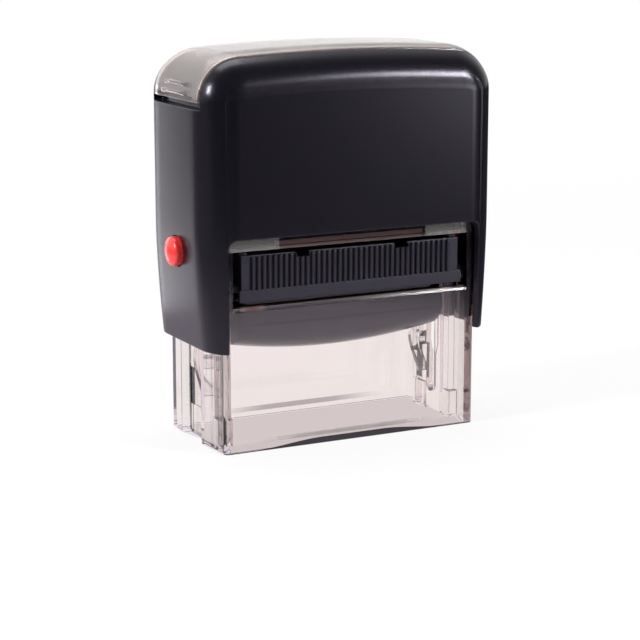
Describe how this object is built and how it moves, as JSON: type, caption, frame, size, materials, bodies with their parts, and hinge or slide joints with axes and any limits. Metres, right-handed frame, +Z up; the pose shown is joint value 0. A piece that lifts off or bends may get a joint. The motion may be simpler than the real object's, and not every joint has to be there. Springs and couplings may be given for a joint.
{
  "type": "self inking stamp",
  "caption": "Self-inking hand stamp: black cap slides down a clear open-bottomed base and flips a rubber die from its ink pad to the paper; pull-out ribbed ink cassette.",
  "frame": {"origin": "centre of the base's footprint, on the surface that it stands on", "axes": "+Z up, -Y towards the ribbed front of the ink cassette, X along the imprint"},
  "size_m": [0.0604, 0.0276, 0.0694],
  "materials": {
    "black_abs": "fine moulded satin texture",
    "clear_styrene": "clear, faint smoky tint",
    "clear_cover": "clear, faint smoky tint",
    "white_card": "plain paper card",
    "red_abs": "glossy",
    "red_rubber": "ink-stained rubber",
    "inked_felt": "felt soaked with red ink",
    "foam_tape": "grey adhesive foam",
    "steel_pin": "plain ground steel",
    "spring_steel": "drawn spring wire"
  },
  "bodies": {
    "base": {"base_frame": "clear_styrene", "return_spring_left": "spring_steel", "return_spring_right": "spring_steel"},
    "cap": {"cap_shell": "black_abs", "bridge": "black_abs", "index_card": "white_card", "axle_pin_left": "steel_pin", "axle_pin_right": "steel_pin", "lock_spring_left": "spring_steel", "lock_spring_right": "spring_steel"},
    "cover": {"index_cover": "clear_cover"},
    "pad": {"pad_tray": "black_abs", "ink_pad": "inked_felt"},
    "die": {"die_holder": "black_abs", "die_cushion": "foam_tape", "rubber_die": "red_rubber", "cam_peg_left": "steel_pin", "cam_peg_right": "steel_pin"},
    "button_left": {"lock_button_left": "red_abs"},
    "button_right": {"lock_button_right": "red_abs"}
  },
  "joints": [
    {"name": "cap_press", "type": "slide", "parent": "base", "child": "cap", "axis": [0, 0, -1], "range_m": [0, 0.0175], "stiffness_N_per_m": 400, "springref_m": -0.006, "deforming": ["return_spring_left", "return_spring_right"]},
    {"name": "die_flip", "type": "hinge", "parent": "cap", "child": "die", "pos_m": [0, 0, 0.0225], "axis": [1, 0, 0], "range_deg": [0, 180]},
    {"name": "pad_slide", "type": "slide", "parent": "base", "child": "pad", "axis": [0, -1, 0], "range_m": [0, 0.0245]},
    {"name": "cover_lift", "type": "slide", "parent": "cap", "child": "cover", "axis": [0, 0, 1], "range_m": [0, 0.012]},
    {"name": "lock_left", "type": "slide", "parent": "cap", "child": "button_left", "axis": [1, 0, 0], "range_m": [0, 0.0008], "stiffness_N_per_m": 300, "springref_m": -0.001, "deforming": ["lock_spring_left"]},
    {"name": "lock_right", "type": "slide", "parent": "cap", "child": "button_right", "axis": [-1, 0, 0], "range_m": [0, 0.0008], "stiffness_N_per_m": 300, "springref_m": -0.001, "deforming": ["lock_spring_right"]}
  ],
  "couplings": [
    {"joint": "die_flip", "follows": "cap_press", "rad_per_m": 179.52}
  ]
}
